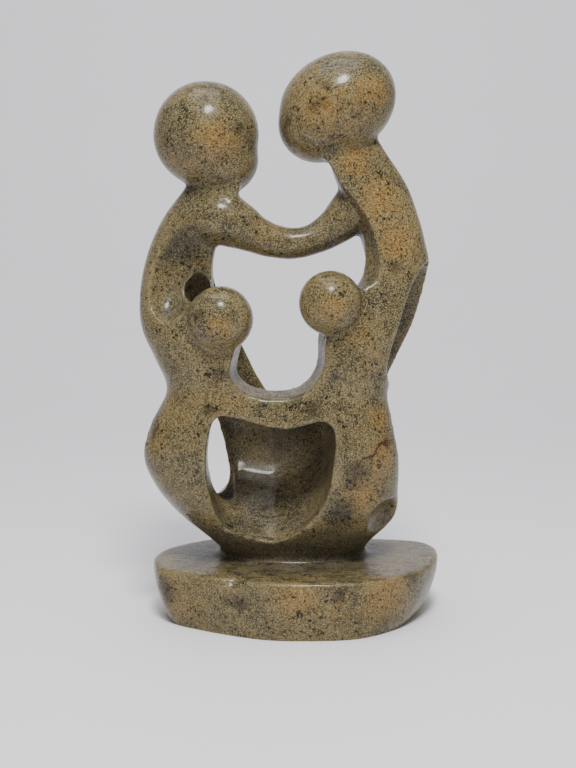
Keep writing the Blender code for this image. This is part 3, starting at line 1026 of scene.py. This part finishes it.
# %% [markdown]
# ## Colour, polish and pores together
#
# The last function joins everything to the shader. The noises are read a little away from the
# origin, where all their sizes would meet in one seam. The measured shelter paints shade into the
# hollows and makes them duller, painted shade darkens the rear wall of the hollow, the measured
# edges get a painted highlight, and a very low bump keeps the highlights from being as clean as on
# plastic.

# %% The stone's material
NOISE_SHIFT = (0.371, 0.613, 0.237)
STAIN_BEND = {"scale": 110.0, "reach": 0.012}


def make_stone():
    material = bpy.data.materials.new("polished_mottled_stone")
    material.use_nodes = True
    tree = material.node_tree
    shader = tree.nodes["Principled BSDF"]
    place = node(tree, "ShaderNodeTexCoord").outputs["Object"]
    sheltered = node(tree, "ShaderNodeAttribute", attribute_name="shelter").outputs["Fac"]
    edge_highlight = node(tree, "ShaderNodeAttribute", attribute_name="edges").outputs["Fac"]
    # The shelter mask gives painted shade in the hollows, and a duller polish there.
    deep = node(tree, "ShaderNodeMapRange", interpolation_type="SMOOTHSTEP", inputs={
        "Value": sheltered, "From Min": 0.15, "From Max": 0.75}).outputs[0]
    open_air = math_node(tree, "SUBTRACT", 1.0, deep)
    stone_place = node(tree, "ShaderNodeMapping", inputs={
        "Vector": place, "Location": NOISE_SHIFT}).outputs[0]
    ragged = bent_places(tree, place, stone_place, **STAIN_BEND)

    colour, small_cloud, pale_grain = stone_ground(tree, stone_place, ragged, open_air)
    colour, middling = stone_darks(tree, stone_place, ragged, colour, small_cloud)
    # Painted shade: the sheltered hollows are darkened towards a dark grey.
    colour = layer(tree, colour, deep, 0.60, RECESS_SHADE)
    # Painted shade on the rear wall of the hollow.
    colour = layer(tree, colour, stains(tree, ragged, HOLLOW_SHADE_PLACES), 0.72, SHADE)
    colour = layer(tree, colour, rubbing_marks(tree, stone_place), 0.60, SHADE)
    # Painted highlight: the convex edges are lightened towards pale.
    colour = layer(tree, colour, edge_highlight, 0.22, PALE)
    tree.links.new(colour, shader.inputs["Base Color"])

    dull = node(tree, "ShaderNodeMapRange", inputs={
        "Value": small_cloud["Noise"], "From Min": 0.3, "From Max": 0.7,
        "To Min": 0.20, "To Max": 0.32})
    rough = math_node(tree, "ADD", dull.outputs[0], math_node(tree, "MULTIPLY", deep, 0.22))
    rough = math_node(tree, "ADD", rough, math_node(tree, "MULTIPLY", middling, 0.08))
    tree.links.new(rough, shader.inputs["Roughness"])
    shader.inputs["Specular IOR Level"].default_value = 0.12
    shader.inputs["Coat Weight"].default_value = 0.20
    shader.inputs["Coat Roughness"].default_value = 0.10
    shader.inputs["IOR"].default_value = 1.5

    height = math_node(tree, "MULTIPLY", pale_grain["Noise"], 0.5)
    height = math_node(tree, "ADD", height, small_cloud["Noise"])
    height = math_node(tree, "SUBTRACT", height, math_node(tree, "MULTIPLY", middling, 0.5))
    bump = node(tree, "ShaderNodeBump", inputs={
        "Strength": 0.25, "Distance": 0.00025, "Height": height})
    tree.links.new(bump.outputs[0], shader.inputs["Normal"])
    return material


stone.data.materials.clear()
stone.data.materials.append(make_stone())
print("the stone's material has", len(stone.data.materials[0].node_tree.nodes), "nodes")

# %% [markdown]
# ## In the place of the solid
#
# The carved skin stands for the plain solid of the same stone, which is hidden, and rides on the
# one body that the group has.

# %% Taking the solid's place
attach(stone, "root")
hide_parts("family_group")
print("triangles:", sum(len(face.vertices) - 2 for face in stone.data.polygons))

# %% [markdown]
# ## The sheet below and behind
#
# The stone stands on a plain pale sheet that sweeps up behind it, as in a photographer's studio.
# Its far edge is extruded step by step along a quarter circle and then straight up, so no line
# parts the ground from the wall.

# %% The sweep
SWEEP_SIZE = (3.2, 1.35, 1)
SWEEP_SHIFT = (0, -0.225, 0)
SWEEP_BACK = 0.45
SWEEP_RADIUS = 0.35
SWEEP_TOP = 1.4
SHEET_COLOUR = (0.90, 0.895, 0.92, 1)


def sweep_profile():
    """Depth and height of the sheet's far edge on its way up."""
    profile = [(SWEEP_BACK, 0.0)]
    for turn in np.radians((15, 30, 45, 60, 75, 90)):
        depth = SWEEP_BACK + SWEEP_RADIUS * math.sin(turn)
        profile.append((depth, SWEEP_RADIUS * (1 - math.cos(turn))))
    return profile + [(SWEEP_BACK + SWEEP_RADIUS, SWEEP_TOP)]


def make_sweep():
    bpy.ops.object.select_all(action="DESELECT")
    bpy.ops.mesh.primitive_plane_add(size=1)
    sweep = bpy.context.object
    sweep.name = "pale_sweep"
    bpy.ops.object.mode_set(mode="EDIT")
    bpy.ops.transform.resize(value=SWEEP_SIZE)
    bpy.ops.transform.translate(value=SWEEP_SHIFT)
    pick(sweep, {vertex.index for vertex in bmesh.from_edit_mesh(sweep.data).verts if vertex.co.y > 0})
    profile = sweep_profile()
    for (y0, z0), (y1, z1) in zip(profile, profile[1:]):
        bpy.ops.mesh.extrude_region_move(TRANSFORM_OT_translate={"value": (0, y1 - y0, z1 - z0)})
    bpy.ops.object.mode_set(mode="OBJECT")
    bpy.ops.object.shade_smooth()
    material = bpy.data.materials.new("pale_sheet")
    material.use_nodes = True
    sheet = material.node_tree.nodes["Principled BSDF"]
    sheet.inputs["Base Color"].default_value = SHEET_COLOUR
    sheet.inputs["Roughness"].default_value = 0.6
    sweep.data.materials.append(material)
    return sweep


make_sweep()
print("the sheet rises to", SWEEP_TOP, "metres behind the stone")

# %% [markdown]
# ## The light
#
# A small soft lamp hangs high in front. It puts the bright spot on each head and shines over the
# bridge onto the floor of the hollow. A wider and weaker one hangs straight above, and the room
# itself gives a pale even light, which the polish mirrors.

# %% Lamps and room light
LAMPS = {
    "ceiling_lamp": ((0.04, -0.56, 0.95), (0, 0, 0.10), 0.26, 11.5),
    "room_lamp": ((-0.05, 0.0, 1.10), (0, 0, 0.12), 0.80, 5.0),
}
ROOM_COLOUR = (0.93, 0.95, 1.0, 1)
ROOM_STRENGTH = 0.34


def soft_lamp(name, place, aim, size, power):
    """A round lamp that looks at its aim, all in metres, with its power in watts."""
    bpy.ops.object.light_add(type="AREA", location=place)
    lamp = bpy.context.object
    lamp.name = name
    lamp.data.shape = "DISK"
    lamp.data.size = size
    lamp.data.energy = power
    lamp.rotation_euler = (Vector(aim) - Vector(place)).to_track_quat("-Z", "Y").to_euler()


for name, settings in LAMPS.items():
    soft_lamp(name, *settings)
world = bpy.data.worlds.new("even_room")
world.use_nodes = True
room = world.node_tree.nodes["Background"]
room.inputs["Color"].default_value = ROOM_COLOUR
room.inputs["Strength"].default_value = ROOM_STRENGTH
bpy.context.scene.world = world

# %% [markdown]
# ## The camera
#
# The photographer held the camera a little above the middle of the stone and tilted it down by
# almost nine degrees. The long side of the picture stands upright.

# %% The camera
TILT = math.radians(8.7)
AIM_HEIGHT = 0.1056
AIM = Vector((-CENTRE_X * MM, -CENTRE_Y * MM, AIM_HEIGHT))
DISTANCE = 0.635
LENS = 66.84
SENSOR = 36.0
back = Vector((0.0, -math.cos(TILT), math.sin(TILT)))
bpy.ops.object.camera_add(location=AIM + back * DISTANCE)
camera = bpy.context.object
camera.name = "photo_camera"
camera.rotation_euler = (-back).to_track_quat("-Z", "Y").to_euler()
camera.data.lens = LENS
camera.data.sensor_width = SENSOR
bpy.context.scene.camera = camera
print("camera at", [round(v, 3) for v in camera.location])
